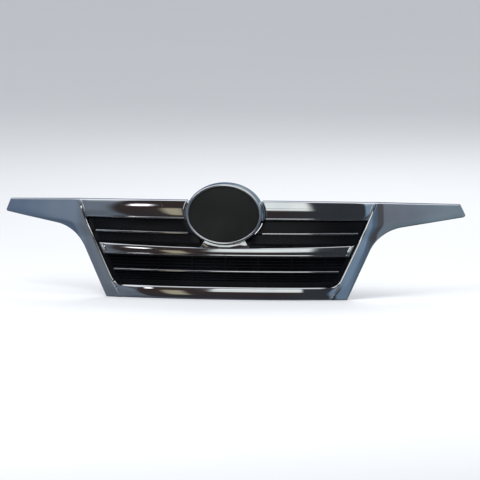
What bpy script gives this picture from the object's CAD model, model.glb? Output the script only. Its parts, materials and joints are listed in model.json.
import json
import logging
from dataclasses import dataclass, field
from enum import Enum
from math import asin, atan2, cos, hypot, pi, radians, sin, sqrt
from typing import Callable, Sequence

import bmesh
import bpy
import numpy as np
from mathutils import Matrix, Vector


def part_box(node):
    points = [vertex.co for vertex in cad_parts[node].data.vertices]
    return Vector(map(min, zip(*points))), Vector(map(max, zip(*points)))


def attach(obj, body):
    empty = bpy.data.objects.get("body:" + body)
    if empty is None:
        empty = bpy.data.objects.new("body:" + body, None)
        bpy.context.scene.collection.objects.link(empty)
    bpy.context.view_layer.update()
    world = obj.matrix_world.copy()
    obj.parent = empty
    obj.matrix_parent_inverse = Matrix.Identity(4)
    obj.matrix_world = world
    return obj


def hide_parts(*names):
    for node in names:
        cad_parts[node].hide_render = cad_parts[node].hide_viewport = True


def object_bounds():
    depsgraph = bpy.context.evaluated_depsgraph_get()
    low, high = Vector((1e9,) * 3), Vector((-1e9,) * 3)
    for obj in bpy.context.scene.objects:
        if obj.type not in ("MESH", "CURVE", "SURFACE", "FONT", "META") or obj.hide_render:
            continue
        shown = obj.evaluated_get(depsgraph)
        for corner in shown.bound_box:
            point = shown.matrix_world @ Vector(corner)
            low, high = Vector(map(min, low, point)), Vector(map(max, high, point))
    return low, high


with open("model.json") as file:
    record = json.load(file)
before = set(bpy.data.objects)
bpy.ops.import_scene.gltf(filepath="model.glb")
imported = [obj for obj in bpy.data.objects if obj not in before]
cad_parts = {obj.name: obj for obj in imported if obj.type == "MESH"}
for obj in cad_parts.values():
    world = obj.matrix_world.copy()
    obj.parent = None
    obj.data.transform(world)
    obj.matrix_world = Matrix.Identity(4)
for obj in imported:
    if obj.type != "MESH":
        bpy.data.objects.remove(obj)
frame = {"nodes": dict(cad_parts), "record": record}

CAD_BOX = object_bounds()
LOG = logging.getLogger("grille")
Colour = tuple[float, float, float]
MM = 0.001
MIRROR = (-1.0, 1.0)
EDGE_POINTS = 600
KNEE_POINTS = 500
COVER_SHARP = 50.0
CAD_WELD = 0.004 * MM


# ---------------------------------------------------------------- shader maths

class Shade:
    """A node socket that can be used in ordinary arithmetic.

    Args:
        tree: The node tree that the socket belongs to.
        socket: The output socket, which gives a single value.
    """

    def __init__(self, tree: bpy.types.NodeTree, socket: bpy.types.NodeSocket) -> None:
        """Keeps the tree and the socket."""
        self.tree = tree
        self.socket = socket

    def maths(self, operation: str, *values: "Shade | float") -> "Shade":
        """Adds one Math node.

        Args:
            operation: The node's operation.
            values: Its inputs, as sockets or numbers.

        Returns:
            The node's result.
        """
        node = self.tree.nodes.new("ShaderNodeMath")
        node.operation = operation
        for place, value in enumerate(values):
            if isinstance(value, Shade):
                self.tree.links.new(value.socket, node.inputs[place])
            else:
                node.inputs[place].default_value = value
        return Shade(self.tree, node.outputs[0])

    def __add__(self, other: "Shade | float") -> "Shade":
        """Sum."""
        return self.maths("ADD", self, other)

    __radd__ = __add__

    def __mul__(self, other: "Shade | float") -> "Shade":
        """Product."""
        return self.maths("MULTIPLY", self, other)

    __rmul__ = __mul__

    def __sub__(self, other: "Shade | float") -> "Shade":
        """Difference."""
        return self.maths("SUBTRACT", self, other)

    def __rsub__(self, other: float) -> "Shade":
        """Difference, with this value taken away."""
        return self.maths("SUBTRACT", other, self)

    def __truediv__(self, other: "Shade | float") -> "Shade":
        """Quotient."""
        return self.maths("DIVIDE", self, other)

    def ramp(self, low: float, high: float) -> "Shade":
        """A smooth rise from 0 at low to 1 at high."""
        node = self.tree.nodes.new("ShaderNodeMapRange")
        node.interpolation_type = "SMOOTHSTEP"
        self.tree.links.new(self.socket, node.inputs["Value"])
        node.inputs["From Min"].default_value = low
        node.inputs["From Max"].default_value = high
        return Shade(self.tree, node.outputs[0])

    def band(self, low: float, high: float, soft: float) -> "Shade":
        """1 between low and high, with soft edges, and 0 elsewhere."""
        return self.ramp(low - soft, low + soft) * (1 - self.ramp(high - soft, high + soft))


class Palette:
    """A material's node tree, with short ways to add to it.

    Args:
        name: The material's name.
    """

    def __init__(self, name: str) -> None:
        """Makes an empty node material."""
        self.material = bpy.data.materials.new(name)
        self.material.use_nodes = True
        self.tree = self.material.node_tree
        self.tree.nodes.clear()

    def node(self, kind: str, settings: dict | None = None, **sockets: object) -> bpy.types.Node:
        """Adds any node.

        Args:
            kind: The node's type.
            settings: Properties to set first.
            sockets: Values or links by socket name, with underscores for spaces.

        Returns:
            The new node.
        """
        node = self.tree.nodes.new(kind)
        for key, value in (settings or {}).items():
            setattr(node, key, value)
        for key, value in sockets.items():
            self.set(node, key.replace("_", " "), value)
        return node

    def set(self, node: bpy.types.Node, name: str, value: object) -> None:
        """Gives one input a value or a link.

        Args:
            node: The node to change.
            name: The input's name.
            value: A number, a tuple, a Shade or an output socket.
        """
        if isinstance(value, Shade):
            value = value.socket
        if isinstance(value, bpy.types.NodeSocket):
            self.tree.links.new(value, node.inputs[name])
        else:
            node.inputs[name].default_value = value

    def place(self) -> bpy.types.NodeSocket:
        """The point's place on the object, in metres."""
        return self.node("ShaderNodeTexCoord").outputs["Object"]

    def noise(self, scale: float, detail: float = 3.0, stretch: Colour = (1, 1, 1)) -> Shade:
        """Soft random mottling.

        Args:
            scale: How many patches there are in a metre.
            detail: How many finer layers there are.
            stretch: Scale along each axis.

        Returns:
            Values about 0.5.
        """
        mapped = self.node("ShaderNodeMapping", Vector=self.place(), Scale=stretch)
        noise = self.node(
            "ShaderNodeTexNoise", Vector=mapped.outputs[0], Scale=scale, Detail=detail
        )
        return Shade(self.tree, noise.outputs[0])

    def mix(self, factor: Shade, low: object, high: object) -> bpy.types.NodeSocket:
        """A blend of two colours.

        Args:
            factor: 0 for the first and 1 for the second.
            low: The first colour, as a tuple or a socket.
            high: The second colour.

        Returns:
            The colour socket.
        """
        node = self.tree.nodes.new("ShaderNodeMix")
        node.data_type = "RGBA"
        self.tree.links.new(factor.socket, node.inputs[0])
        for place, colour in ((6, low), (7, high)):
            if isinstance(colour, bpy.types.NodeSocket):
                self.tree.links.new(colour, node.inputs[place])
            else:
                node.inputs[place].default_value = (*colour, 1.0)
        return node.outputs[2]

    def dim(self, colour: bpy.types.NodeSocket, share: float) -> bpy.types.NodeSocket:
        """A colour scaled down.

        Args:
            colour: The colour.
            share: How much of it is left.

        Returns:
            The darker colour.
        """
        node = self.tree.nodes.new("ShaderNodeVectorMath")
        node.operation = "SCALE"
        self.tree.links.new(colour, node.inputs[0])
        node.inputs["Scale"].default_value = share
        return node.outputs[0]

    def bump(self, height: Shade, depth: float, strength: float) -> bpy.types.NodeSocket:
        """A normal that follows a height pattern."""
        node = self.node("ShaderNodeBump", Height=height, Distance=depth, Strength=strength)
        return node.outputs[0]

    def surface(self, **sockets: object) -> bpy.types.Material:
        """Ends the tree in one Principled shader.

        Args:
            sockets: The shader's inputs.

        Returns:
            The finished material.
        """
        shader = self.node("ShaderNodeBsdfPrincipled", **sockets)
        output = self.node("ShaderNodeOutputMaterial")
        self.tree.links.new(shader.outputs[0], output.inputs[0])
        return self.material


# ---------------------------------------------------------------- finishes

@dataclass(frozen=True)
class ChromePlating:
    """Bright plating on plastic: near-mirror, with a faint ripple and a trace of dust."""

    bright: Colour = (0.83, 0.84, 0.86)
    dull: Colour = (0.75, 0.77, 0.80)
    smoothest: float = 0.035
    haze: float = 0.05

    def make(self) -> bpy.types.Material:
        """The node material."""
        paint = Palette("chrome_plating")
        film = paint.noise(9.0, 4.0)
        speck = paint.noise(260.0, 2.0).ramp(0.62, 0.74)
        return paint.surface(
            Base_Color=paint.mix(film.ramp(0.35, 0.7), self.bright, self.dull),
            Metallic=1.0,
            Roughness=self.smoothest + film.ramp(0.4, 0.75) * self.haze + speck * self.haze,
            Normal=paint.bump(paint.noise(14.0, 1.0), 0.0012, 0.06),
        )


@dataclass(frozen=True)
class BlackPlastic:
    """Moulded black plastic with a fine grain.

    Args:
        name: The material's name.
        deep: The darker colour.
        worn: The lighter, dustier colour.
        roughness: The mean roughness.
        grain: How many grains there are in a metre.
        relief: How strongly the grain shows.
    """

    name: str = "black_moulding"
    deep: Colour = (0.0014, 0.0016, 0.0026)
    worn: Colour = (0.0034, 0.0037, 0.0054)
    roughness: float = 0.26
    grain: float = 900.0
    relief: float = 0.12

    def make(self) -> bpy.types.Material:
        """The node material."""
        paint = Palette(self.name)
        dust = paint.noise(6.0, 5.0)
        grain = paint.noise(self.grain, 2.0)
        return paint.surface(
            Base_Color=paint.mix(dust.ramp(0.4, 0.75), self.deep, self.worn),
            Roughness=self.roughness + (dust - 0.5) * 0.16 + (grain - 0.5) * 0.08,
            Specular_IOR_Level=0.22,
            Normal=paint.bump(grain, 0.0002, self.relief),
        )


@dataclass(frozen=True)
class Foam:
    """Closed-cell foam with small open pores."""

    skin: Colour = (0.035, 0.035, 0.037)
    pore: Colour = (0.012, 0.012, 0.012)

    def make(self) -> bpy.types.Material:
        """The node material."""
        paint = Palette("foam")
        cells = paint.node("ShaderNodeTexVoronoi", Vector=paint.place(), Scale=700.0)
        hollow = Shade(paint.tree, cells.outputs["Distance"])
        return paint.surface(
            Base_Color=paint.mix(hollow.ramp(0.05, 0.5), self.pore, self.skin),
            Roughness=0.88 + (hollow - 0.5) * 0.1,
            Normal=paint.bump(hollow, 0.0004, 0.6),
        )


@dataclass(frozen=True)
class ZincPlate:
    """Zinc-plated steel: grey metal with crystal patches and slight yellowing.

    Args:
        name: The material's name.
        bright: The lighter metal colour.
        aged: The yellowed metal colour.
    """

    name: str
    bright: Colour = (0.56, 0.57, 0.58)
    aged: Colour = (0.42, 0.40, 0.33)

    def make(self) -> bpy.types.Material:
        """The node material."""
        paint = Palette(self.name)
        patches = paint.noise(160.0, 3.0)
        return paint.surface(
            Base_Color=paint.mix(patches.ramp(0.4, 0.65), self.bright, self.aged),
            Metallic=1.0,
            Roughness=0.3 + patches * 0.2,
            Normal=paint.bump(paint.noise(500.0, 2.0), 0.0001, 0.2),
        )


@dataclass(frozen=True)
class NaturalNylon:
    """Undyed nylon: waxy off-white with faint flow marks."""

    pale: Colour = (0.78, 0.75, 0.66)
    amber: Colour = (0.66, 0.60, 0.48)

    def make(self) -> bpy.types.Material:
        """The node material."""
        paint = Palette("pin_nylon")
        flow = paint.noise(120.0, 3.0, (1.0, 0.2, 1.0))
        return paint.surface(
            Base_Color=paint.mix(flow.ramp(0.35, 0.7), self.pale, self.amber),
            Roughness=0.38 + flow * 0.14,
            Normal=paint.bump(flow, 0.0002, 0.15),
        )


@dataclass(frozen=True)
class Finishes:
    """One material for each slot in the record."""

    chrome: bpy.types.Material
    black: bpy.types.Material
    emblem: bpy.types.Material
    foam: bpy.types.Material
    bracket: bpy.types.Material
    screw: bpy.types.Material
    nylon: bpy.types.Material

    @classmethod
    def make(cls) -> "Finishes":
        """All the finishes."""
        return cls(
            chrome=ChromePlating().make(),
            black=BlackPlastic().make(),
            emblem=BlackPlastic(
                "emblem_black", (0.0090, 0.0100, 0.0096), (0.0150, 0.0165, 0.0160), 0.44, 1400.0, 0.05
            ).make(),
            foam=Foam().make(),
            bracket=ZincPlate("bracket_steel").make(),
            screw=ZincPlate("screw_steel", (0.5, 0.5, 0.46), (0.44, 0.40, 0.26)).make(),
            nylon=NaturalNylon().make(),
        )

    def by_slot(self) -> dict[str, bpy.types.Material]:
        """The materials by the record's slot names."""
        return {
            "chrome_plating": self.chrome,
            "black_moulding": self.black,
            "emblem_black": self.emblem,
            "foam": self.foam,
            "bracket_steel": self.bracket,
            "screw_steel": self.screw,
            "pin_nylon": self.nylon,
        }


# ---------------------------------------------------------------- outlines and the plan curve

Line = np.ndarray


@dataclass(frozen=True)
class PlanCurve:
    """How far back the chrome face is, seen from above: an arc, tight shoulders, straight wings."""

    back: float = 16 * MM
    centre_radius: float = 2050 * MM
    shoulder_across: float = 450 * MM
    shoulder_radius: float = 160 * MM
    sweep: float = radians(36)

    def depth(self, across: Line) -> Line:
        """The face's place along Y at each place across the grille.

        Args:
            across: Places along X.

        Returns:
            Places along Y.
        """
        x = np.abs(across)
        arc_back = self.back + self.centre_radius
        turn = asin(self.shoulder_across / self.centre_radius)
        turn_across = self.shoulder_across - self.shoulder_radius * sin(turn)
        turn_back = arc_back - (self.centre_radius - self.shoulder_radius) * cos(turn)
        straight = turn_across + self.shoulder_radius * sin(self.sweep)
        straight_back = turn_back - self.shoulder_radius * cos(self.sweep)
        inner = np.minimum(x, self.shoulder_across)
        middle = arc_back - np.sqrt(self.centre_radius ** 2 - inner ** 2)
        bend = np.clip(x - turn_across, 0, straight - turn_across)
        shoulder = turn_back - np.sqrt(self.shoulder_radius ** 2 - bend ** 2)
        wing = straight_back + (x - straight) * np.tan(self.sweep)
        return np.where(x <= self.shoulder_across, middle, np.where(x <= straight, shoulder, wing))


def resample(line: Line, fractions: Sequence[float]) -> Line:
    """Points at fractions of a line's length.

    Args:
        line: The line's points, one a row.
        fractions: Places from 0 to 1.

    Returns:
        The points.
    """
    runs = np.hypot(*np.diff(line, axis=0).T)
    along = np.concatenate([[0.0], np.cumsum(runs)])
    wanted = np.asarray(fractions) * along[-1]
    return np.stack([np.interp(wanted, along, line[:, k]) for k in (0, 1)], axis=1)


def length_of(line: Line) -> float:
    """A line's length."""
    return float(np.hypot(*np.diff(line, axis=0).T).sum())


def split_at(line: Line, test: Callable[[Line], Line]) -> tuple[Line, Line]:
    """The line cut in two where a signed test first reaches zero.

    Args:
        line: The line's points.
        test: Gives each point a number that is negative before the cut.

    Returns:
        The part before and the part after, which share the cut point.
    """
    value = test(line)
    place = int(np.argmax(value >= 0))
    before, after = value[place - 1], value[place]
    cut = line[place - 1] + (line[place] - line[place - 1]) * (before / (before - after))
    return np.vstack([line[:place], cut]), np.vstack([cut, line[place:]])


def arc_through(first: Line, middle: Line, last: Line, count: int = 200) -> tuple[Line, Line, float]:
    """A circular arc through three points.

    Args:
        first: Where it starts.
        middle: A point that it passes.
        last: Where it ends.
        count: How many points to give.

    Returns:
        The points, the centre and the radius.
    """
    rows = 2 * np.array([middle - first, last - first])
    sums = np.array([middle @ middle - first @ first, last @ last - first @ first])
    centre = np.linalg.solve(rows, sums)
    radius = float(np.hypot(*(first - centre)))
    start = atan2(*(first - centre)[::-1])
    sweep = (atan2(*(last - centre)[::-1]) - start + pi) % (2 * pi) - pi
    turn = start + np.linspace(0, 1, count) * sweep
    return centre + radius * np.stack([np.cos(turn), np.sin(turn)], axis=1), centre, radius


def rounded(points: Sequence[tuple[float, float]], radii: Sequence[float], count: int = 24) -> Line:
    """A line through corners, each rounded by its own radius.

    Args:
        points: The ends and the corners.
        radii: One radius for each corner between the ends.
        count: How many points each rounding has.

    Returns:
        The line's points.
    """
    corners = np.array(points, float)
    out = [corners[:1]]
    for place, radius in enumerate(radii, start=1):
        corner = corners[place]
        back = corners[place - 1] - corner
        onward = corners[place + 1] - corner
        back /= np.hypot(*back)
        onward /= np.hypot(*onward)
        half = 0.5 * np.arccos(np.clip(back @ onward, -1, 1))
        reach = radius / np.tan(half)
        middle = back + onward
        middle = corner + middle / np.hypot(*middle) * (radius / sin(half))
        crest = middle + (corner - middle) / np.hypot(*(corner - middle)) * radius
        out.append(arc_through(corner + back * reach, crest, corner + onward * reach, count)[0])
    out.append(corners[-1:])
    return np.vstack(out)


@dataclass(frozen=True)
class FrontOutline:
    """The grille's right-hand edges, seen from the front, as (across, up) in metres."""

    opening_top: tuple[float, float] = (486 * MM, 36 * MM)
    leg_bow: tuple[float, float] = (427 * MM, -100.3 * MM)
    opening_foot: tuple[float, float] = (361.4 * MM, -239.5 * MM)
    corner_radius: float = 40 * MM
    tip_top: tuple[float, float] = (739 * MM, 12.2 * MM)
    tip_low: tuple[float, float] = (757.5 * MM, -29.8 * MM)
    tip_radius: float = 5 * MM
    armpit: tuple[float, float] = (493.5 * MM, -57.3 * MM)
    armpit_radius: float = 125 * MM
    foot: tuple[float, float] = (393 * MM, -280 * MM)
    seam_top: tuple[float, float] = (378 * MM, -224 * MM)
    seam_low: tuple[float, float] = (334 * MM, -292 * MM)
    joint_gap: float = 0.4 * MM
    corner_points: int = 60
    corner_clear: float = 0.5 * MM

    def lip(self) -> Line:
        """The opening's edge, from its top corner down the leg and along to the middle."""
        top, bow, foot = (np.array(p) for p in (self.opening_top, self.leg_bow, self.opening_foot))
        leg, centre, radius = arc_through(top, bow, foot)
        level = foot[1] + self.corner_radius
        inner = radius - self.corner_radius
        across = centre[0] + sqrt(inner ** 2 - (level - centre[1]) ** 2)
        middle = np.array([across, level])
        outer = centre + (middle - centre) * (radius / inner)
        low = np.array([across, foot[1]])
        crest = (outer + low) / 2 - middle
        crest = middle + crest / np.hypot(*crest) * self.corner_radius
        corner = arc_through(outer, crest, low, self.corner_points)[0]
        leg = leg[leg[:, 1] > outer[1] + self.corner_clear]
        return np.vstack([leg, corner, [[0.0, foot[1]]]])

    def lip_parts(self) -> tuple[Line, Line]:
        """The leg's part of the opening's edge, and the bottom rail's part, cut at the seam's level."""
        return split_at(self.lip(), lambda points: self.seam_top[1] - points[:, 1])

    def seam(self, inward: float) -> Line:
        """The slanted seam between leg and rail, moved inward, from its top to the lower edge."""
        top, low = np.array(self.seam_top), np.array(self.seam_low)
        foot = top + (low - top) * ((self.foot[1] - top[1]) / (low[1] - top[1]))
        return np.array([top, foot]) - np.array([inward, 0.0])

    def outer(self) -> Line:
        """The outer edge, from the tip's lower rounding to the foot."""
        corners = [self.tip_top, self.tip_low, self.armpit, self.foot]
        return rounded(corners, [self.tip_radius, self.armpit_radius], 60)[1:]

    def crown_edge(self) -> Line:
        """The upper edge, from the opening's top corner to the end of the tip's upper rounding."""
        return rounded([self.opening_top, self.tip_top, self.tip_low], [self.tip_radius], 24)[:-1]


def offset_line(line: Line, amount: float) -> Line:
    """A copy of a line moved sideways, to the right of its run for a positive amount."""
    run = np.gradient(line, axis=0)
    run /= np.hypot(*run.T)[:, None]
    return line + amount * np.stack([run[:, 1], -run[:, 0]], axis=1)


def distance_to(points: Line, line: Line) -> Line:
    """The distance from each point to the nearest place on a line.

    Args:
        points: The points, one a row.
        line: The line's points.

    Returns:
        One distance for each point.
    """
    start, run = line[:-1], np.diff(line, axis=0)
    size = np.maximum((run ** 2).sum(axis=1), 1e-18)
    nearest = np.full(len(points), np.inf)
    for here, step, square in zip(start, run, size):
        share = np.clip(((points - here) @ step) / square, 0, 1)
        nearest = np.minimum(nearest, np.hypot(*(points - here - share[:, None] * step).T))
    return nearest


# ---------------------------------------------------------------- meshes

def dress(mesh: bpy.types.Mesh, material: bpy.types.Material, sharp: float = 40.0) -> None:
    """Gives a mesh one material and smooth shading, with edges sharper than the angle kept crisp."""
    mesh.materials.clear()
    mesh.materials.append(material)
    mesh.shade_smooth()
    mesh.set_sharp_from_angle(angle=radians(sharp))


def finished(thing: bpy.types.Object) -> bpy.types.Object:
    """Bakes an object's modifiers into a plain mesh.

    Args:
        thing: The object, which keeps its name.

    Returns:
        The same object with no modifiers.
    """
    bpy.context.view_layer.update()
    baked = bpy.data.meshes.new_from_object(thing.evaluated_get(bpy.context.evaluated_depsgraph_get()))
    thing.modifiers.clear()
    thing.data = baked
    return thing


def linked(name: str, mesh: bpy.types.Mesh) -> bpy.types.Object:
    """A new object in the scene that shows a mesh."""
    thing = bpy.data.objects.new(name, mesh)
    bpy.context.scene.collection.objects.link(thing)
    return thing


def mesh_of(solid: bmesh.types.BMesh, name: str) -> bpy.types.Mesh:
    """A new mesh with an editing mesh's shape. The editing mesh is let go."""
    mesh = bpy.data.meshes.new(name)
    solid.to_mesh(mesh)
    solid.free()
    return mesh


def face_front(sheet: bmesh.types.BMesh) -> None:
    """Turns a sheet's faces so that, taken together, they look forwards, along -Y."""
    bmesh.ops.recalc_face_normals(sheet, faces=sheet.faces)
    if sum(face.normal.y * face.calc_area() for face in sheet.faces) > 0:
        bmesh.ops.reverse_faces(sheet, faces=sheet.faces)


def hand_over(piece: bpy.types.Object, slot: str, *nodes: str) -> bpy.types.Object:
    """Says what a finished piece rides on, what it stands for and its slot.

    Args:
        piece: The finished piece.
        slot: The record's material slot.
        nodes: The CAD nodes that it replaces.

    Returns:
        The piece.
    """
    if not piece.data.polygons:
        raise ValueError(f"{piece.name} has no faces")
    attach(piece, "root")
    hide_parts(*nodes)
    LOG.info("%s: %d faces, for %s", piece.name, len(piece.data.polygons), ", ".join(nodes))
    return piece


ROLL_STEPS = (0.0, 0.25 * MM, 0.8 * MM, 1.6 * MM, 2.6 * MM, 4.0 * MM)
BEAD_STEPS = tuple(step * MM for step in (0, 0.15, 0.6, 1.4, 2.5, 3.75, 5, 6.1, 6.9, 7.35, 8, 9.5))


def spread(length: float, near: Sequence[float], far: Sequence[float], between: int) -> Line:
    """Fractions along a length that are close together at both ends.

    Args:
        length: The whole length.
        near: Distances in from the start, from 0 up.
        far: Distances in from the end, from 0 up.
        between: How many even steps join them.

    Returns:
        Fractions from 0 to 1.
    """
    squeeze = min(1.0, 0.8 * length / max(near[-1] + far[-1], 1e-9))
    first = np.array(near) * squeeze
    last = length - np.array(far)[::-1] * squeeze
    middle = np.linspace(first[-1], last[0], between + 1)[1:-1]
    return np.clip(np.concatenate([first, middle, last]) / max(length, 1e-9), 0, 1)


@dataclass
class Patch:
    """A four-sided area between four edges, filled with a grid.

    Args:
        low: The edge where the second share is 0.
        high: The edge where the second share is 1.
        start: The edge where the first share is 0, from low to high.
        end: The edge where the first share is 1, from low to high.
    """

    low: Line
    high: Line
    start: Line
    end: Line

    def grid(self, along: Line, near: Sequence[float], far: Sequence[float], between: int) -> Line:
        """The grid's points.

        Args:
            along: Fractions of the low and high edges.
            near: Distances in from the low edge.
            far: Distances in from the high edge.
            between: How many even steps join them.

        Returns:
            An array of stations by rows by (across, up).
        """
        low, high = resample(self.low, along), resample(self.high, along)
        stations = []
        for u, a, b in zip(along, low, high):
            v = spread(float(np.hypot(*(b - a))), near, far, between)
            ruled = a + (b - a) * v[:, None]
            first, last = resample(self.start, v), resample(self.end, v)
            ends = first + (last - first) * u
            near_chord = self.low[0] + (self.high[0] - self.low[0]) * v[:, None]
            far_chord = self.low[-1] + (self.high[-1] - self.low[-1]) * v[:, None]
            stations.append(ruled + ends - near_chord - (far_chord - near_chord) * u)
        return np.array(stations)


@dataclass
class Cover:
    """A chrome shell: flat grids given depth, stood up behind the plan curve and rimmed.

    Args:
        name: The piece's name.
        grids: The grids that make its face.
        depth: Gives each (across, up) point its depth behind the plan curve.
        plan: The plan curve.
        side: -1 for a mirrored left-hand piece, or 1.
    """

    name: str
    grids: list[Line]
    depth: Callable[[Line], Line]
    plan: PlanCurve
    side: int = 1
    rim_back: float = 27.6 * MM
    wall: float = 2.2 * MM

    def _face(self) -> bmesh.types.BMesh:
        """The face, drawn flat as (across, 0, up)."""
        sheet = bmesh.new()
        for grid in self.grids:
            points = [[sheet.verts.new((x, 0.0, z)) for x, z in station] for station in grid]
            for near, far in zip(points[:-1], points[1:]):
                for corner in zip(near[:-1], near[1:], far[1:], far[:-1]):
                    sheet.faces.new(corner)
        bmesh.ops.remove_doubles(sheet, verts=sheet.verts, dist=0.02 * MM)
        bmesh.ops.dissolve_degenerate(sheet, edges=sheet.edges, dist=0.005 * MM)
        return sheet

    def build(self, material: bpy.types.Material) -> bpy.types.Object:
        """Makes the shell.

        Args:
            material: Its finish.

        Returns:
            The finished object.
        """
        sheet = self._face()
        flat = np.array([(v.co.x, v.co.z) for v in sheet.verts])
        deep = self.depth(flat)
        back = self.plan.depth(flat[:, 0])
        for vertex, setback, place in zip(sheet.verts, deep, back):
            vertex.co.y = place + setback
        face_front(sheet)
        rim = [edge for edge in sheet.edges if edge.is_boundary]
        drawn = bmesh.ops.extrude_edge_only(sheet, edges=rim)["geom"]
        for vertex in drawn:
            if isinstance(vertex, bmesh.types.BMVert):
                across = np.array([vertex.co.x])
                vertex.co.y = float(self.plan.depth(across)[0]) + self.rim_back
        face_front(sheet)
        if self.side < 0:
            bmesh.ops.scale(sheet, verts=sheet.verts, vec=(-1, 1, 1))
            bmesh.ops.reverse_faces(sheet, faces=sheet.faces)
        piece = linked(self.name, mesh_of(sheet, self.name))
        shell = piece.modifiers.new("wall", "SOLIDIFY")
        shell.thickness = self.wall
        shell.offset = -1.0
        finished(piece)
        dress(piece.data, material, COVER_SHARP)
        return piece


def roll(distance: Line, radius: float) -> Line:
    """How far a rounded edge falls away at each distance in from it."""
    short = radius - np.minimum(distance, radius)
    return radius - np.sqrt(np.maximum(radius ** 2 - short ** 2, 0))


def bead(distance: Line, width: float, height: float) -> Line:
    """How far a half-round bead along an edge stands up at each distance in from it."""
    share = np.clip((distance - width / 2) / (width / 2), -1, 1)
    return height * np.sqrt(1 - share ** 2)


def chamfer(distance: Line, width: float, slope: float) -> Line:
    """How far a softened chamfer along an edge falls away at each distance in from it."""
    return slope * softened(width - distance, 0.8 * MM)


def softened(value: Line, softness: float) -> Line:
    """The value where it is above zero and zero elsewhere, with a soft bend between."""
    return 0.5 * (value + np.sqrt(value ** 2 + softness ** 2))


def hollowed(from_low: Line, from_high: Line, crown: float) -> Line:
    """How far a crowned band falls away from the crest midway between its two edges."""
    share = from_low / np.maximum(from_low + from_high, 1e-9)
    return crown * (1 - 4 * share * (1 - share))


def to_left(points: Line) -> Line:
    """The points with those of the right-hand half moved to their mirror places."""
    return np.stack([-np.abs(points[:, 0]), points[:, 1]], axis=1)


def smooth_rise(value: Line, low: float, high: float) -> Line:
    """A smooth rise from 0 to 1 between two values."""
    share = np.clip((value - low) / (high - low), 0, 1)
    return share * share * (3 - 2 * share)


# ---------------------------------------------------------------- chrome covers

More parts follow.
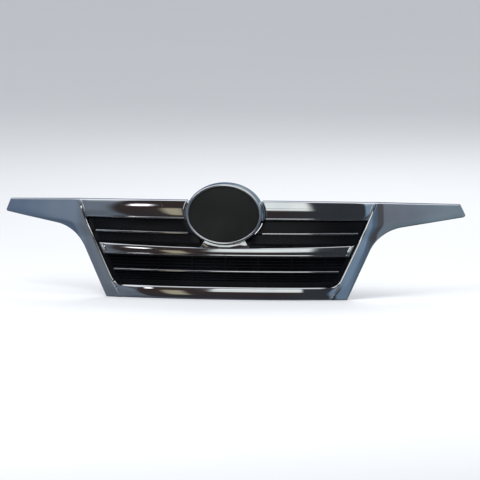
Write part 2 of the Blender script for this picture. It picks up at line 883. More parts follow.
@dataclass
class ChromeCovers:
    """The wings and legs, the bars and the bottom rail."""

    plan: PlanCurve = field(default_factory=PlanCurve)
    outline: FrontOutline = field(default_factory=FrontOutline)
    base: float = 2.2 * MM
    bead_width: float = 7.5 * MM
    bead_height: float = 1.6 * MM
    lip_width: float = 4.5 * MM
    lip_slope: float = 0.315
    rail_end_fade: float = 60 * MM
    edge_radius: float = 3 * MM
    seam_radius: float = 0.8 * MM
    joint_across: float = 530 * MM
    crease_rise: float = 12 * MM
    wing_crown: float = 2.6 * MM
    wing_crown_reach: float = 30 * MM
    wing_bow_from: float = 545 * MM
    wing_bow_radius: float = 3600 * MM
    leg_ridge: float = 24 * MM
    leg_lean: tuple[float, float] = (0.09, 0.12)
    leg_lean_levels: tuple[float, float] = (-35 * MM, -90 * MM)
    top_bar_crown: float = 5.5 * MM
    mid_bar_crown: float = 3.4 * MM
    rail_crown: float = 4.0 * MM
    rail_edge_radius: float = 5 * MM
    rail_tilt: float = 0.10
    rail_turn_from: float = 230 * MM
    rail_turn_radius: float = 1300 * MM
    bar_bead_width: float = 5 * MM
    bar_bead_height: float = 1.5 * MM
    bar_top: tuple[float, float] = (42.5 * MM, 36 * MM)
    bar_low: tuple[float, float] = (-18.6 * MM, -21.3 * MM)
    bar_half: float = 486 * MM
    mid_top: tuple[float, float] = (-110.3 * MM, -102.3 * MM)
    mid_low: float = -138.3 * MM
    mid_half: float = 430 * MM
    mid_end_gap: float = 9 * MM
    ear_half: tuple[float, float] = (133 * MM, 105.5 * MM)
    leg_across: int = 12
    leg_along: int = 110
    wing_across: int = 36
    wing_along: int = 56
    ear_points: int = 60
    top_bar_mesh: tuple[int, int] = (64, 22)
    long_bar_mesh: tuple[int, int] = (130, 16)

    def build(self, finishes: Finishes) -> None:
        """Builds and hands over every cover.

        Args:
            finishes: The materials.
        """
        covers = {}
        for side, word in ((-1, "left"), (1, "right")):
            covers[f"wing_cover_{word}"] = self.wing(side, word)
            covers[f"top_bar_{word}"] = self.top_bar(side, word)
        covers["mid_bar"] = self.mid_bar()
        covers["bottom_rail"] = self.rail()
        for node, cover in covers.items():
            hand_over(cover.build(finishes.chrome), "chrome_plating", node)

    def wing(self, side: int, word: str) -> Cover:
        """A wing and its leg in one moulding.

        Args:
            side: -1 for the left, or 1.
            word: The side's name.

        Returns:
            The cover, ready to build.
        """
        shape = self.outline
        lip = shape.lip()
        seam = shape.seam(0.0)
        outer = shape.outer()
        crown = resample(shape.crown_edge(), np.linspace(0, 1, EDGE_POINTS))
        near_top, far_top = split_at(crown, lambda points: points[:, 0] - self.joint_across)
        crease = int(np.argmin(np.hypot(*(outer - np.array(shape.armpit)).T)))
        wing_low, leg_outer = outer[:crease + 1][::-1], outer[crease:]
        level = leg_outer[0][1] + self.crease_rise
        lip_high, lip_low = split_at(shape.lip_parts()[0], lambda points: level - points[:, 1])
        lip_low = np.vstack([lip_low, seam[:1]])
        share = length_of(lip_low) / (length_of(lip_low) + length_of(seam))
        fine = resample(leg_outer, np.linspace(0, 1, KNEE_POINTS))
        knee = int(share * (KNEE_POINTS - 1))
        leg_high, leg_low = fine[:knee + 1], fine[knee:]
        join = np.array([near_top[-1], leg_outer[0]])
        middle = np.array([lip_high[-1], leg_outer[0]])
        knee_line = np.array([seam[0], leg_low[0]])
        foot_line = np.array([seam[-1], leg_low[-1]])
        tip = np.array([far_top[-1], wing_low[-1]])
        rows = spread(length_of(join), ROLL_STEPS, ROLL_STEPS, self.wing_across)
        leg_rows = np.linspace(0, 1, self.leg_along)
        foot_rows = spread(length_of(seam), (0.0,), ROLL_STEPS, self.leg_across)
        wing_rows = spread(length_of(far_top), (0.0,), ROLL_STEPS, self.wing_along)
        leg_steps = (BEAD_STEPS, ROLL_STEPS, self.leg_across)
        grids = [
            Patch(lip_high, join, near_top, middle).grid(rows, *leg_steps),
            Patch(lip_low, leg_high, middle, knee_line).grid(leg_rows, *leg_steps),
            Patch(seam, leg_low, knee_line, foot_line).grid(foot_rows, *leg_steps),
            Patch(far_top, wing_low, join, tip).grid(wing_rows, ROLL_STEPS, ROLL_STEPS, self.wing_across),
        ]
        edges = [crown, outer, tip, foot_line]

        def depth(points: Line) -> Line:
            """The wing's and leg's depth at each point."""
            from_lip = distance_to(points, lip)
            from_edge = np.min([distance_to(points, edge) for edge in edges], axis=0)
            reach = from_edge / self.wing_crown_reach
            swell = 1 - (1 - np.minimum(reach, 1)) ** 2
            fade = smooth_rise(-points[:, 1], -self.leg_lean_levels[0], -self.leg_lean_levels[1])
            beyond = softened(from_lip - self.leg_ridge, self.edge_radius)
            lean = self.leg_lean[0] * from_lip + self.leg_lean[1] * beyond
            bow = np.maximum(points[:, 0] - self.wing_bow_from, 0) ** 2 / (2 * self.wing_bow_radius)
            return (
                self.base
                + chamfer(from_lip, self.lip_width, self.lip_slope)
                - self.wing_crown * swell * (1 - fade)
                + lean * fade
                + bow
                + roll(from_edge, self.edge_radius)
                + roll(distance_to(points, seam), self.seam_radius)
            )

        return Cover(f"wing_shell_{word}", grids, depth, self.plan, side)

    def _bar_depth(
        self,
        low: Line,
        high: Line,
        ends: Line,
        crown: float,
        plain: list[Line],
    ) -> Callable[[Line], Line]:
        """A bar's depth: crowned between its long edges, with beads along its low edge and its end.

        Args:
            low: The lower edge.
            high: The upper edge.
            ends: The beaded end.
            crown: How far the middle stands out.
            plain: Other edges that are only rounded.

        Returns:
            The depth function.
        """

        def depth(points: Line) -> Line:
            """The bar's depth at each point."""
            from_low, from_high = distance_to(points, low), distance_to(points, high)
            from_end = distance_to(points, ends)
            from_plain = np.min([from_high] + [distance_to(points, edge) for edge in plain], axis=0)
            lift = np.maximum(
                bead(from_low, self.bar_bead_width, self.bar_bead_height),
                bead(from_end, self.bead_width, self.bead_height),
            )
            crowned = hollowed(from_low, from_high, crown)
            return self.base + crowned - lift + roll(from_plain, self.edge_radius)

        return depth

    def top_bar(self, side: int, word: str) -> Cover:
        """One half of the top bar, from the emblem's collar to the wing.

        Args:
            side: -1 for the left, or 1.
            word: The side's name.

        Returns:
            The cover, ready to build.
        """
        outside = offset_line(self.outline.lip(), self.outline.joint_gap)
        bowed = [self._bowed(levels, self.bar_half) for levels in (self.bar_low, self.bar_top)]
        clear = [split_at(line, self._past_ear)[1] for line in bowed]
        low, high = (self._before(line, outside) for line in clear)
        turn = np.linspace(self._ear_turn(low[0]), self._ear_turn(high[0]), self.ear_points)
        start = np.stack([self.ear_half[0] * np.cos(turn), self.ear_half[1] * np.sin(turn)], axis=1)
        beside = (outside[:, 1] > low[-1][1]) & (outside[:, 1] < high[-1][1])
        end = np.vstack([low[-1:], outside[beside][::-1], high[-1:]])
        along = spread(length_of(low), ROLL_STEPS, BEAD_STEPS, self.top_bar_mesh[0])
        grid = Patch(low, high, start, end).grid(along, BEAD_STEPS, ROLL_STEPS, self.top_bar_mesh[1])
        depth = self._bar_depth(low, high, end, self.top_bar_crown, [start])
        return Cover(f"top_bar_shell_{word}", [grid], depth, self.plan, side)

    def _bowed(self, levels: tuple[float, float], half: float) -> Line:
        """A gently bowed edge from the middle outwards.

        Args:
            levels: Its level in the middle and at the end.
            half: How far out the end is.

        Returns:
            The edge.
        """
        middle, end = levels
        halfway = (half / 2, middle + (end - middle) / 4)
        points = (np.array(point) for point in ((0.0, middle), halfway, (half, end)))
        return arc_through(*points, EDGE_POINTS)[0]

    def _past_ear(self, points: Line) -> Line:
        """Negative inside the collar's outline."""
        return (points[:, 0] / self.ear_half[0]) ** 2 + (points[:, 1] / self.ear_half[1]) ** 2 - 1

    def _ear_turn(self, point: Line) -> float:
        """The collar outline's angle at a point on it."""
        return atan2(point[1] / self.ear_half[1], point[0] / self.ear_half[0])

    def _before(self, line: Line, limit: Line) -> Line:
        """The part of an outward line that stops at a limit line."""
        order = np.argsort(limit[:, 1])

        def beyond(points: Line) -> Line:
            """Negative inside the limit."""
            return points[:, 0] - np.interp(points[:, 1], limit[order, 1], limit[order, 0])

        return split_at(line, beyond)[0]

    def mid_bar(self) -> Cover:
        """The middle bar, with a bead at each end."""
        limit = offset_line(self.outline.lip(), self.mid_end_gap)
        high = self._before(self._bowed(self.mid_top, self.mid_half), limit)
        across = np.linspace(0, self.mid_half, EDGE_POINTS)
        low = self._before(np.stack([across, np.full(EDGE_POINTS, self.mid_low)], axis=1), limit)
        low, high = (np.vstack([(line * MIRROR)[:0:-1], line]) for line in (low, high))
        start, end = np.array([low[0], high[0]]), np.array([low[-1], high[-1]])
        along = spread(length_of(low), BEAD_STEPS, BEAD_STEPS, self.long_bar_mesh[0])
        grid = Patch(low, high, start, end).grid(along, BEAD_STEPS, ROLL_STEPS, self.long_bar_mesh[1])
        depth = self._bar_depth(low, high, start, self.mid_bar_crown, [])

        return Cover("mid_bar_shell", [grid], lambda points: depth(to_left(points)), self.plan)

    def rail(self) -> Cover:
        """The bottom rail, between its two corner seams."""
        seam = self.outline.seam(self.outline.joint_gap)
        right = np.vstack([self.outline.lip_parts()[1][::-1], seam[:1]])
        high = np.vstack([(right * MIRROR)[::-1], right[1:]])
        low = np.array([seam[-1] * MIRROR, seam[-1]])
        start, end = seam[::-1] * MIRROR, seam[::-1]
        whole_lip = self.outline.lip() * MIRROR
        along = spread(length_of(low), ROLL_STEPS, ROLL_STEPS, self.long_bar_mesh[0])
        grid = Patch(low, high, start, end).grid(along, ROLL_STEPS, BEAD_STEPS, self.long_bar_mesh[1])

        def depth(points: Line) -> Line:
            """The rail's depth at each point."""
            edges = (low, high, start, whole_lip)
            from_low, from_high, from_end, from_lip = (distance_to(to_left(points), edge) for edge in edges)
            fade = smooth_rise(from_end, 0.0, self.rail_end_fade)
            crowned = hollowed(from_low, from_high, self.rail_crown) * fade
            past_turn = np.maximum(np.abs(points[:, 0]) - self.rail_turn_from, 0)
            turned = past_turn ** 2 / (2 * self.rail_turn_radius)
            return (
                self.base
                + crowned
                + self.rail_tilt * from_high
                + turned
                + chamfer(from_lip, self.lip_width, self.lip_slope)
                + roll(from_low, self.rail_edge_radius)
                + roll(from_end, self.seam_radius)
            )

        return Cover("bottom_rail_shell", [grid], depth, self.plan)


# ---------------------------------------------------------------- pieces that repeat or follow a path

class Way(Enum):
    """What a geometry tree does with the mesh that it is given."""

    SWEEP = "profile carried along lines"
    PLACE = "an object stood on points"


def fed(tree: bpy.types.NodeTree, kind: str, **links: bpy.types.NodeSocket) -> bpy.types.Node:
    """Adds a node and links its inputs, which are named with underscores for spaces.

    Args:
        tree: The tree.
        kind: The node's type.
        links: The socket that feeds each input.

    Returns:
        The new node.
    """
    node = tree.nodes.new(kind)
    for word, socket in links.items():
        tree.links.new(socket, node.inputs[word.replace("_", " ")])
    return node


@dataclass
class Tree:
    """A geometry-nodes tree with named inputs.

    Args:
        name: The tree's name.
        way: What it does.
    """

    name: str
    way: Way

    def _group(self) -> bpy.types.NodeTree:
        """The empty tree with its geometry sockets."""
        tree = bpy.data.node_groups.new(self.name, "GeometryNodeTree")
        tree.interface.new_socket("Geometry", in_out="INPUT", socket_type="NodeSocketGeometry")
        tree.interface.new_socket("Geometry", in_out="OUTPUT", socket_type="NodeSocketGeometry")
        return tree

    def build(self) -> bpy.types.NodeTree:
        """Makes the tree.

        Returns:
            The tree, which ends in Realize Instances and Set Material.
        """
        tree = self._group()
        inputs = {Way.SWEEP: ("Deep", "High", "Round"), Way.PLACE: ()}[self.way]
        for word in inputs:
            tree.interface.new_socket(word, in_out="INPUT", socket_type="NodeSocketFloat")
        if self.way is Way.PLACE:
            tree.interface.new_socket("Object", in_out="INPUT", socket_type="NodeSocketObject")
        tree.interface.new_socket("Finish", in_out="INPUT", socket_type="NodeSocketMaterial")
        start = tree.nodes.new("NodeGroupInput")
        shape = self._sweep(tree, start) if self.way is Way.SWEEP else self._place(tree, start)
        realize = fed(tree, "GeometryNodeRealizeInstances", Geometry=shape)
        finish = start.outputs["Finish"]
        paint = fed(tree, "GeometryNodeSetMaterial", Geometry=realize.outputs[0], Material=finish)
        fed(tree, "NodeGroupOutput", Geometry=paint.outputs[0])
        return tree

    def _sweep(self, tree: bpy.types.NodeTree, start: bpy.types.Node) -> bpy.types.NodeSocket:
        """A rounded rectangle carried along each line."""
        given = start.outputs
        lines = fed(tree, "GeometryNodeMeshToCurve", Mesh=given["Geometry"])
        upright = fed(tree, "GeometryNodeSetCurveNormal", Curve=lines.outputs[0])
        upright.mode = "Z_UP"
        quad = "GeometryNodeCurvePrimitiveQuadrilateral"
        section = fed(tree, quad, Width=given["Deep"], Height=given["High"])
        soft = fed(tree, "GeometryNodeFilletCurve", Curve=section.outputs[0], Radius=given["Round"])
        soft.mode = "POLY"
        soft.inputs["Count"].default_value = 4
        sweep = {"Curve": upright.outputs[0], "Profile_Curve": soft.outputs[0]}
        body = fed(tree, "GeometryNodeCurveToMesh", **sweep)
        body.inputs["Fill Caps"].default_value = True
        return body.outputs[0]

    def _place(self, tree: bpy.types.NodeTree, start: bpy.types.Node) -> bpy.types.NodeSocket:
        """The given object on each point."""
        given = start.outputs
        pattern = fed(tree, "GeometryNodeObjectInfo", Object=given["Object"]).outputs["Geometry"]
        stand = fed(tree, "GeometryNodeInstanceOnPoints", Points=given["Geometry"], Instance=pattern)
        return stand.outputs[0]


def grown(name: str, seeds: bpy.types.Mesh, tree: bpy.types.NodeTree, values: dict) -> bpy.types.Object:
    """Runs a geometry tree on a mesh and keeps the result as a plain mesh.

    Args:
        name: The piece's name.
        seeds: The mesh of lines or points that the tree starts from.
        tree: The tree.
        values: Its inputs by name.

    Returns:
        The finished object.
    """
    piece = linked(name, seeds)
    grow = piece.modifiers.new("grow", "NODES")
    grow.node_group = tree
    for item in tree.interface.items_tree:
        if item.in_out == "INPUT" and item.name in values:
            grow[item.identifier] = values[item.name]
    finished(piece)
    dress(piece.data, values["Finish"])
    return piece


def line_mesh(name: str, lines: Sequence[Line]) -> bpy.types.Mesh:
    """A mesh of open lines with no faces."""
    points = np.vstack(lines)
    edges, first = [], 0
    for line in lines:
        edges += [(first + k, first + k + 1) for k in range(len(line) - 1)]
        first += len(line)
    mesh = bpy.data.meshes.new(name)
    mesh.from_pydata(points.tolist(), edges, [])
    return mesh


@dataclass
class BrightStrips:
    """The thin bright strips on the louvre noses."""

    plan: PlanCurve = field(default_factory=PlanCurve)
    nodes: tuple[str, ...] = ("upper_strip_left", "upper_strip_right", "lower_strip")
    setback: float = 12.5 * MM
    deep: float = 5 * MM
    high: float = 5.5 * MM
    softness: float = 1.5 * MM
    points: int = 90

    def build(self, finishes: Finishes, tree: bpy.types.NodeTree) -> None:
        """Builds and hands over the strips.

        Args:
            finishes: The materials.
            tree: The sweeping tree.
        """
        for node in self.nodes:
            low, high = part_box(node)
            across = np.linspace(low.x, high.x, self.points)
            turn_radius = self.plan.centre_radius - self.setback
            back = self.plan.back + self.plan.centre_radius - np.sqrt(turn_radius ** 2 - across ** 2)
            level = np.full(self.points, (low.z + high.z) / 2)
            path = np.stack([across, back, level], axis=1)
            values = {"Deep": self.deep, "High": self.high, "Round": self.softness}
            values["Finish"] = finishes.chrome
            piece = grown(f"{node}_bar", line_mesh(node, [path]), tree, values)
            hand_over(piece, "chrome_plating", node)


# ---------------------------------------------------------------- emblem seat

@dataclass
class EmblemSeat:
    """The oval chrome ring and what it stands on."""

    window: tuple[float, float] = (115 * MM, 90 * MM)
    lip: tuple[float, float] = (122.5 * MM, 98.5 * MM)
    skirt: tuple[float, float] = (125.5 * MM, 101 * MM)
    cavity: tuple[float, float] = (119 * MM, 95 * MM)
    crest: float = -4 * MM
    shoulder: float = -1 * MM
    seat: float = 2 * MM
    back: float = 18 * MM
    turns: int = 160
    lip_steps: int = 12
    skirt_steps: int = 6

    def build(self, finishes: Finishes) -> None:
        """Builds and hands over the ring.

        Args:
            finishes: The materials.
        """
        loop = [(self.window, self.seat), (self.window, 0.5 * self.seat)]
        for step in range(self.lip_steps + 1):
            turn = pi * step / self.lip_steps
            share = 0.5 - 0.5 * cos(turn)
            half = tuple(a + (b - a) * share for a, b in zip(self.window, self.lip))
            loop.append((half, self.shoulder + (self.crest - self.shoulder) * sin(turn)))
        for step in range(1, self.skirt_steps + 1):
            share = step / self.skirt_steps
            half = tuple(a + (b - a) * share for a, b in zip(self.lip, self.skirt))
            loop.append((half, self.shoulder + (self.back - self.shoulder) * share))
        loop += [(self.cavity, self.back), (self.cavity, self.seat)]
        ring = bmesh.new()
        rows = [
            [ring.verts.new((half[0] * cos(t), y, half[1] * sin(t))) for half, y in loop]
            for t in (2 * pi * k / self.turns for k in range(self.turns))
        ]
        for row, onward in zip(rows, rows[1:] + rows[:1]):
            for k in range(len(loop)):
                nearby = (k + 1) % len(loop)
                ring.faces.new((row[k], row[nearby], onward[nearby], onward[k]))
        bmesh.ops.recalc_face_normals(ring, faces=ring.faces)
        mesh = mesh_of(ring, "emblem_ring")
        dress(mesh, finishes.chrome, COVER_SHARP)
        hand_over(linked("emblem_ring", mesh), "chrome_plating", "emblem_bezel")


# ---------------------------------------------------------------- softened mouldings

@dataclass
class Moulding:
    """A CAD node copied, with its hard edges rounded.

    Args:
        node: The CAD node.
        slot: Its material slot.
        radius: The rounding.
    """

    node: str
    slot: str
    radius: float
    flat_angle: float = radians(0.6)
    edge_angle: float = radians(38)
    sharp: float = 32.0

    def build(self, material: bpy.types.Material) -> bpy.types.Object:
        """Makes the rounded copy and hands it over.

        Args:
            material: Its finish.

        Returns:
            The finished object.
        """
        mesh = frame["nodes"][self.node].data.copy()
        mesh.name = f"{self.node}_moulded"
        solid = bmesh.new()
        solid.from_mesh(mesh)
        bmesh.ops.remove_doubles(solid, verts=solid.verts, dist=CAD_WELD)
        bmesh.ops.dissolve_limit(
            solid, angle_limit=self.flat_angle, verts=solid.verts, edges=solid.edges, delimit={"NORMAL"}
        )
        solid.to_mesh(mesh)
        solid.free()
        piece = linked(mesh.name, mesh)
        soft = piece.modifiers.new("soft", "BEVEL")
        soft.width = self.radius
        soft.segments = 2
        soft.limit_method = "ANGLE"
        soft.angle_limit = self.edge_angle
        soft.use_clamp_overlap = True
        finished(piece)
        dress(piece.data, material, self.sharp)
        return hand_over(piece, self.slot, self.node)


# ---------------------------------------------------------------- screws

@dataclass
class Screws:
    """The pan-head screws, which are all one shape with different lengths."""

    shank: float = 2 * MM
    head: float = 4.5 * MM
    height: float = 3 * MM
    thread: float = 1.2 * MM
    slot_half: float = 0.75 * MM
    slot_reach: float = 2.8 * MM
    slot_depth: float = 1.3 * MM
    point: tuple[float, float] = (0.8 * MM, 1.6 * MM)
    thread_from: float = 2 * MM
    plain_length: float = 3 * MM
    root: float = 0.78
    neck: tuple[float, float] = (0.8, 0.4 * MM)
    under_head: float = 0.92
    rings: tuple[float, ...] = (1.0, 0.9, 0.78, 0.66, 0.6, 0.54, 0.4, 0.26, 0.18, 0.12)
    apart: float = 2.1
    turns: int = 32

    def _profile(self, length: float) -> list[tuple[float, float]]:
        """The screw's half section, as (radius, place along the axis from the seat)."""
        ridges = int((length - self.plain_length) / self.thread)
        section = [(0.0, -length), (self.point[0], self.point[1] - length)]
        for step in range(ridges):
            low = self.thread_from - length + step * self.thread
            section += [(self.shank * self.root, low), (self.shank, low + self.thread / 2)]
        neck = (self.shank * self.neck[0], -self.neck[1])
        return section + [neck, (self.shank, 0.0), (self.head * self.under_head, 0.0)]

    def _crown(self, across: float, up: float) -> float:
        """The head's level at a place on its top, with a cross recess sunk into it."""
        out = min(hypot(across, up) / self.head, 1.0)
        dome = self.height * (0.25 + 0.75 * sqrt(1 - out ** 2))
        arm, half = max(abs(across), abs(up)), min(abs(across), abs(up))
        inside = half < self.slot_half and arm < self.slot_reach
        return dome - (self.slot_depth if inside else 0.0)

    def pattern(self, length: float) -> bpy.types.Object:
        """One screw with its axis along Y, its seat at the origin and a cross recess.

        Args:
            length: The shank's length.

        Returns:
            The screw.
        """
        solid = bmesh.new()
        section = self._profile(length)
        radii = [self.head * share for share in self.rings]
        rows = []
        for step in range(self.turns):
            turn = 2 * pi * step / self.turns
            side = [(r * cos(turn), y, r * sin(turn)) for r, y in section]
            above = [(r * cos(turn), r * sin(turn)) for r in radii]
            top = [(across, self._crown(across, up), up) for across, up in above]
            rows.append([solid.verts.new(place) for place in side + top])
        for row, onward in zip(rows, rows[1:] + rows[:1]):
            for k in range(len(row) - 1):
                solid.faces.new((row[k], row[k + 1], onward[k + 1], onward[k]))
        solid.faces.new([row[-1] for row in rows])
        bmesh.ops.remove_doubles(solid, verts=solid.verts, dist=0.01 * MM)
        bmesh.ops.recalc_face_normals(solid, faces=solid.faces)
        return linked("screw_pattern", mesh_of(solid, "screw_pattern"))

    def places(self, node: str) -> tuple[Line, float]:
        """Where a screw node's screws stand.

        Args:
            node: The CAD node.

        Returns:
            The seats and the shank's length.
        """
        solid = bmesh.new()
        solid.from_mesh(frame["nodes"][node].data)
        bmesh.ops.remove_doubles(solid, verts=solid.verts, dist=CAD_WELD)
        corners = np.array([vertex.co for vertex in solid.verts])
        solid.free()
        seats: list[Line] = []
        lengths: list[float] = []
        left = corners
        while len(left):
            apart = np.hypot(left[:, 0] - left[0, 0], left[:, 2] - left[0, 2])
            close = apart < self.apart * self.head
            screw, left = left[close], left[~close]
            middle = (screw.min(axis=0) + screw.max(axis=0)) / 2
            seat = screw[:, 1].max() - self.height
            seats.append(np.array([middle[0], seat, middle[2]]))
            lengths.append(seat - screw[:, 1].min())
        return np.array(seats), float(np.mean(lengths))

    def build(self, finishes: Finishes, tree: bpy.types.NodeTree) -> None:
        """Builds and hands over every group of screws.

        Args:
            finishes: The materials.
            tree: The placing tree.
        """
        for node in sorted(name for name in frame["nodes"] if name.endswith("_screws")):
            seats, length = self.places(node)
            pattern = self.pattern(length)
            mesh = bpy.data.meshes.new(node)
            mesh.from_pydata(seats.tolist(), [], [])
            piece = grown(f"{node}_set", mesh, tree, {"Object": pattern, "Finish": finishes.screw})
            bpy.data.objects.remove(pattern)
            hand_over(piece, "screw_steel", node)


# ---------------------------------------------------------------- studio

@dataclass(frozen=True)
class RoomGlow:
    """What the chrome reflects: a grey room with a dark middle, a window, a lamp and a cream patch.

    Directions are in degrees: turns to the side of straight ahead, and rises above level. A zone is
    a pair of limits and the softness of its edges.
    """

    radius: float
    far_wall: Colour = (0.12, 0.165, 0.24)
    walls: tuple[tuple[float, float, Colour], ...] = (
        (-87, -80, (0.185, 0.235, 0.305)),
        (-75, -50, (0.155, 0.185, 0.225)),
        (20, 25, (0.19, 0.27, 0.37)),
        (34, 42, (0.095, 0.135, 0.195)),
        (46, 54, (0.082, 0.085, 0.096)),
        (64.6, 67.0, (0.165, 0.19, 0.23)),
        (67, 72, (0.20, 0.26, 0.305)),
    )
    low_wall: tuple[float, float, float] = (-24, -8, 0.75)
    ceiling: tuple[float, float, Colour] = (18, 42, (0.92, 0.95, 1.0))
    ground: tuple[float, float, Colour] = (-60, -30, (0.075, 0.085, 0.10))
    dark_turns: tuple[float, float, float] = (-30, 22, 1.6)
    dark_top: tuple[float, float] = (40, 55)
    dark_rises: tuple[float, float] = (-50, -10)
    dark_low: Colour = (0.030, 0.030, 0.036)
    dark_high: Colour = (0.038, 0.029, 0.028)
    dark_right: tuple[float, float, Colour] = (2, 12, (0.033, 0.037, 0.043))
    window_turns: tuple[float, float, float] = (-10, 9.5, 1.0)
    window_sill: tuple[float, float] = (-9, -1)
    window_top: tuple[float, float] = (32, 38)
    window_bar: tuple[float, float, float] = (3.2, 4.6, 0.5)
    window_bar_share: float = 0.75
    window_light: Colour = (0.88, 0.92, 0.90)
    lamp_turns: tuple[float, float, float] = (-26, -22.4, 1.2)
    lamp_rises: tuple[float, float, float] = (7, 14, 2.0)
    lamp_light: Colour = (3.0, 2.9, 3.0)
    patch_turns: tuple[float, float, float] = (-19.5, -15.5, 1.0)
    patch_rises: tuple[float, float, float] = (-30, -1, 3.0)
    patch_light: Colour = (0.36, 0.33, 0.24)

    def _wall(self, paint: Palette, turn: Shade, rise: Shade) -> bpy.types.NodeSocket:
        """The walls' colour in each direction, with the ground below and the ceiling above."""
        wall = self.far_wall
        for low, high, colour in self.walls:
            wall = paint.mix(turn.ramp(low, high), wall, colour)
        low, high, share = self.low_wall
        wall = paint.mix(rise.ramp(low, high), paint.dim(wall, share), wall)
        low, high, colour = self.ceiling
        wall = paint.mix(rise.ramp(low, high), wall, colour)
        low, high, colour = self.ground
        return paint.mix(1 - rise.ramp(low, high), wall, colour)

    def _dark(self, paint: Palette, turn: Shade, rise: Shade) -> bpy.types.NodeSocket:
        """The dark middle's colour in each direction."""
        shade = paint.mix(rise.ramp(*self.dark_rises), self.dark_low, self.dark_high)
        low, high, colour = self.dark_right
        return paint.mix(turn.ramp(low, high), shade, colour)

    def make(self) -> bpy.types.Material:
        """The glowing material."""
        paint = Palette("room_glow")
        split = paint.node("ShaderNodeSeparateXYZ", Vector=paint.place())
        x, y, z = (Shade(paint.tree, split.outputs[k]) for k in range(3))
        level = z / self.radius
        turn = x.maths("ARCTAN2", x, 0 - y) * (180 / pi)
        rise = level.maths("ARCSINE", level) * (180 / pi)
        middle = turn.band(*self.dark_turns) * (1 - rise.ramp(*self.dark_top))
        sill = rise.ramp(*self.window_sill)
        window = turn.band(*self.window_turns) * sill * (1 - rise.ramp(*self.window_top))
        window = window * (1 - rise.band(*self.window_bar) * self.window_bar_share)
        lamp = turn.band(*self.lamp_turns) * rise.band(*self.lamp_rises)
        patch = turn.band(*self.patch_turns) * rise.band(*self.patch_rises)
        colour = paint.mix(middle, self._wall(paint, turn, rise), self._dark(paint, turn, rise))
        for share, light in (
            (patch, self.patch_light),
            (lamp, self.lamp_light),
            (window, self.window_light),
        ):
            colour = paint.mix(share, colour, light)
        glow = paint.node("ShaderNodeEmission", Color=colour, Strength=1.0)
        output = paint.node("ShaderNodeOutputMaterial")
        paint.tree.links.new(glow.outputs[0], output.inputs[0])
        paint.material.cycles.emission_sampling = "NONE"
        return paint.material


@dataclass(frozen=True)
class Lamp:
    """A round soft lamp that points at the origin: its place and size in metres, its power in watts."""

    name: str
    place: tuple[float, float, float]
    size: float
    power: float

    def build(self) -> None:
        """Adds the lamp, which the chrome does not reflect."""
        data = bpy.data.lights.new(self.name, "AREA")
        data.shape = "DISK"
        data.size = self.size
        data.energy = self.power
        lamp = bpy.data.objects.new(self.name, data)
        lamp.location = self.place
        lamp.rotation_euler = (-Vector(self.place)).to_track_quat("-Z", "Y").to_euler()
        lamp.visible_glossy = False
        bpy.context.scene.collection.objects.link(lamp)


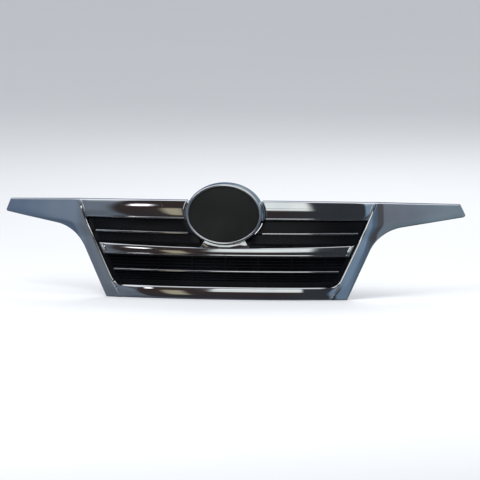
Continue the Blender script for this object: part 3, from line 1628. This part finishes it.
@dataclass
class Studio:
    """The floor, the light, what the chrome reflects and the camera."""

    turn: float = radians(7.10)
    rise: float = radians(6.89)
    far: float = 20.0
    wide: float = 1554.24 * MM
    sensor: float = 36.0
    centre: tuple[float, float, float] = (0.0, 76 * MM, -92.3 * MM)
    shift: tuple[float, float] = (42.87 * MM, 0.87 * MM)
    clip_end: float = 1000.0
    room: float = 60.0
    pale: Colour = (0.72, 0.73, 0.74)
    floor_reach: float = 300.0
    floor_gap: float = 0.5 * MM
    sky: Colour = (0.93, 0.95, 1.0)
    sky_strength: float = 0.75
    lamps: tuple[Lamp, ...] = (
        Lamp("key", (-1.6, -2.6, 3.4), 3.0, 160.0),
        Lamp("fill", (3.2, -1.2, 2.2), 2.4, 50.0),
        Lamp("rear", (0.5, 3.5, 3.0), 3.0, 70.0),
    )

    def camera(self) -> None:
        """Stands the camera at the viewing angle and makes it the scene's."""
        right = Vector((cos(self.turn), sin(self.turn), 0))
        level = cos(self.rise)
        ahead = Vector((-sin(self.turn) * level, cos(self.turn) * level, -sin(self.rise)))
        up = right.cross(ahead)
        aim = Vector(self.centre) + right * self.shift[0] + up * self.shift[1]
        data = bpy.data.cameras.new("camera")
        data.sensor_width = self.sensor
        data.lens = self.sensor * self.far / self.wide
        data.clip_end = self.clip_end
        camera = bpy.data.objects.new("camera", data)
        camera.location = aim - ahead * self.far
        camera.rotation_euler = ahead.to_track_quat("-Z", "Y").to_euler()
        bpy.context.scene.collection.objects.link(camera)
        bpy.context.scene.camera = camera

    def floor(self) -> None:
        """A plain pale floor just under the grille."""
        paint = Palette("pale_floor")
        cloud = paint.noise(1.5, 3.0)
        material = paint.surface(
            Base_Color=paint.mix(cloud, self.pale, tuple(0.97 * c for c in self.pale)),
            Roughness=0.85 + (cloud - 0.5) * 0.1,
        )
        level = CAD_BOX[0].z - self.floor_gap
        reach = self.floor_reach
        mesh = bpy.data.meshes.new("floor")
        signs = ((-1, -1), (1, -1), (1, 1), (-1, 1))
        corners = [(reach * across, reach * back, level) for across, back in signs]
        mesh.from_pydata(corners, [], [(0, 1, 2, 3)])
        mesh.materials.append(material)
        floor = linked("floor", mesh)
        floor.visible_glossy = False

    def surroundings(self) -> None:
        """A great ball that only reflections can see."""
        ball = bmesh.new()
        bmesh.ops.create_icosphere(ball, subdivisions=5, radius=self.room)
        mesh = mesh_of(ball, "surroundings")
        mesh.materials.append(RoomGlow(self.room).make())
        room = linked("surroundings", mesh)
        for ray in ("camera", "diffuse", "shadow", "transmission", "volume_scatter"):
            setattr(room, f"visible_{ray}", False)

    def lights(self) -> None:
        """A pale sky and the soft lamps."""
        world = bpy.data.worlds.new("sky")
        world.use_nodes = True
        sky = world.node_tree.nodes["Background"]
        sky.inputs["Color"].default_value = (*self.sky, 1.0)
        sky.inputs["Strength"].default_value = self.sky_strength
        bpy.context.scene.world = world
        for lamp in self.lamps:
            lamp.build()

    def build(self) -> None:
        """Sets up the whole studio."""
        self.floor()
        self.surroundings()
        self.lights()
        self.camera()
        bpy.context.scene.view_settings.view_transform = "Standard"


# ---------------------------------------------------------------- the whole grille

SIDES = ("left", "right")
ROUNDINGS: tuple[tuple[float, tuple[str, ...]], ...] = (
    (1.2 * MM, ("emblem_collar",)),
    (1.5 * MM, ("emblem_pedestal",)),
    (0.6 * MM, ("emblem_plate", "emblem_cup")),
    (0.8 * MM, tuple(f"upper_louvre_{side}" for side in SIDES)),
    (0.6 * MM, tuple(f"carrier_{part}" for part in ("top_beam", "mid_beam", "bottom_beam", "centre_web"))),
    (0.6 * MM, tuple(f"{part}_{side}" for part in ("carrier_leg", "wing_backing") for side in SIDES)),
    (0.4 * MM, tuple(f"corner_bracket_{side}" for side in SIDES)),
    (0.5 * MM, ("lower_pins", "wing_clips")),
    (1.0 * MM, ("top_foam_seal", "bottom_foam_seal", "anti_rattle_pads")),
)


def dress_frame(slots: dict[str, str], materials: dict[str, bpy.types.Material]) -> None:
    """Gives every CAD node its procedural material.

    Args:
        slots: The slot of each node.
        materials: The material of each slot.
    """
    for name, thing in frame["nodes"].items():
        thing.data.materials.clear()
        thing.data.materials.append(materials[slots[name]])


def main() -> None:
    """Builds the grille's visual model and its studio."""
    logging.basicConfig(level=logging.INFO, format="%(message)s")
    finishes = Finishes.make()
    materials = finishes.by_slot()
    slots = {part["node"]: part["material_slot"] for part in frame["record"]["subparts"]}
    dress_frame(slots, materials)
    Studio().build()
    ChromeCovers().build(finishes)
    EmblemSeat().build(finishes)
    BrightStrips().build(finishes, Tree("strip_sweep", Way.SWEEP).build())
    for radius, nodes in ROUNDINGS:
        for node in nodes:
            Moulding(node, slots[node], radius).build(materials[slots[node]])
    Screws().build(finishes, Tree("screw_places", Way.PLACE).build())


if __name__ == "__main__":
    main()
